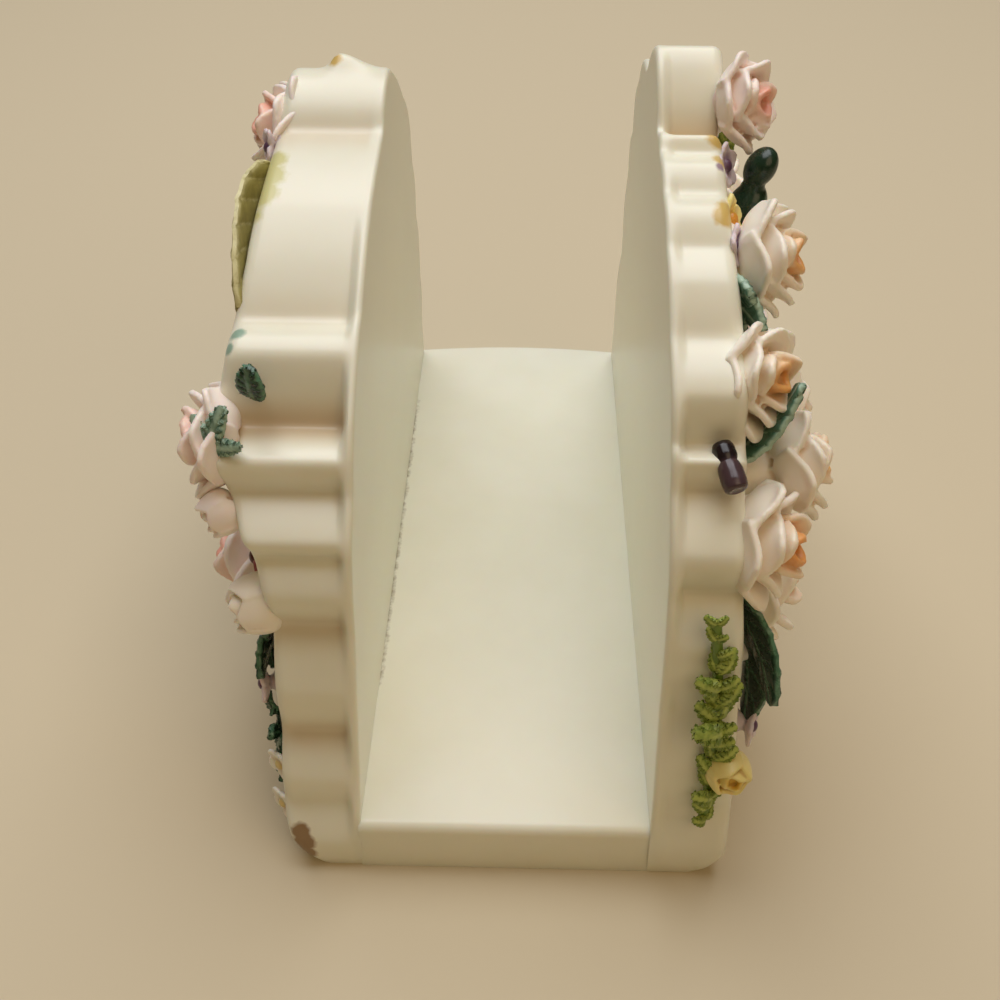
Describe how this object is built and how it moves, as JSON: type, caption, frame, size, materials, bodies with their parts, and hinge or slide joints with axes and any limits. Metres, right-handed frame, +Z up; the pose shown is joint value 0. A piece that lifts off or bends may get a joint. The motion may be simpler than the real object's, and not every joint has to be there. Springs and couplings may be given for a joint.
{
  "type": "napkin holder",
  "caption": "Cast resin napkin holder: scalloped upright panels on a base slab, open at the top and both ends, with painted roses, buds, blossoms and leaves glued to the outer faces.",
  "frame": {"origin": "centre of the base slab's underside, on the surface that the holder stands on", "axes": "+Z up, +Y along the slot from the front end to the back end, +X across the slot towards the right panel"},
  "size_m": [0.1017, 0.1389, 0.115],
  "materials": {
    "ivory_resin": "cast resin, satin gloss, ivory",
    "cream_paint": "hand painted cast resin, cream with a peach heart",
    "pink_paint": "hand painted cast resin, soft pink",
    "peach_paint": "hand painted cast resin, peach",
    "yellow_paint": "hand painted cast resin, yellow",
    "violet_paint": "hand painted cast resin, dusty violet",
    "magenta_paint": "hand painted cast resin, dark magenta",
    "white_paint": "hand painted cast resin, white",
    "plum_paint": "hand painted cast resin, dark plum, glossy",
    "dark_green_paint": "hand painted cast resin, dark green, glossy",
    "mid_green_paint": "hand painted cast resin, blue green",
    "olive_paint": "hand painted cast resin, yellow olive",
    "fern_paint": "hand painted cast resin, bright fern green"
  },
  "bodies": {
    "root": {"base_slab": "ivory_resin", "left_panel": "ivory_resin", "right_panel": "ivory_resin", "left_peak_rose": "pink_paint", "left_rim_rose": "pink_paint", "left_heart_rose": "cream_paint", "left_low_rose": "pink_paint", "left_back_rose": "cream_paint", "left_far_rose": "peach_paint", "left_pink_bud": "pink_paint", "left_cream_bud": "cream_paint", "left_yellow_bud": "yellow_paint", "left_top_violet": "violet_paint", "left_low_violet": "violet_paint", "left_back_violet": "violet_paint", "left_magenta_blossom": "magenta_paint", "left_yellow_blossom": "yellow_paint", "left_white_blossom": "white_paint", "left_foot_blossom": "white_paint", "left_olive_leaf": "olive_paint", "left_dark_leaf": "dark_green_paint", "left_ivy_leaf": "dark_green_paint", "left_bud_leaf": "dark_green_paint", "left_heart_leaf": "mid_green_paint", "left_shoulder_leaf": "mid_green_paint", "left_back_leaf": "dark_green_paint", "left_mid_leaf": "dark_green_paint", "left_far_leaf": "mid_green_paint", "left_low_leaf": "mid_green_paint", "left_front_sprig": "dark_green_paint", "left_back_fern": "fern_paint", "right_peak_rose": "pink_paint", "right_upper_rose": "cream_paint", "right_shoulder_rose": "cream_paint", "right_outer_rose": "cream_paint", "right_front_rose": "peach_paint", "right_front_fern": "fern_paint", "right_heart_rose": "pink_paint", "right_low_rose": "cream_paint", "right_back_rose": "peach_paint", "right_far_rose": "cream_paint", "right_peach_bud": "peach_paint", "right_yellow_bud": "yellow_paint", "right_plum_pod": "plum_paint", "right_top_violet": "violet_paint", "right_rim_violet": "violet_paint", "right_low_violet": "violet_paint", "right_yellow_blossom": "yellow_paint", "right_white_blossom": "white_paint", "right_back_blossom": "white_paint", "right_far_blossom": "yellow_paint", "right_curled_leaf": "dark_green_paint", "right_rose_leaf": "mid_green_paint", "right_upright_leaf": "mid_green_paint", "right_dark_leaf": "dark_green_paint", "right_heart_leaf": "dark_green_paint", "right_back_leaf": "mid_green_paint", "right_far_leaf": "dark_green_paint", "right_low_leaf": "mid_green_paint", "right_top_fern": "fern_paint"}
  },
  "joints": []
}
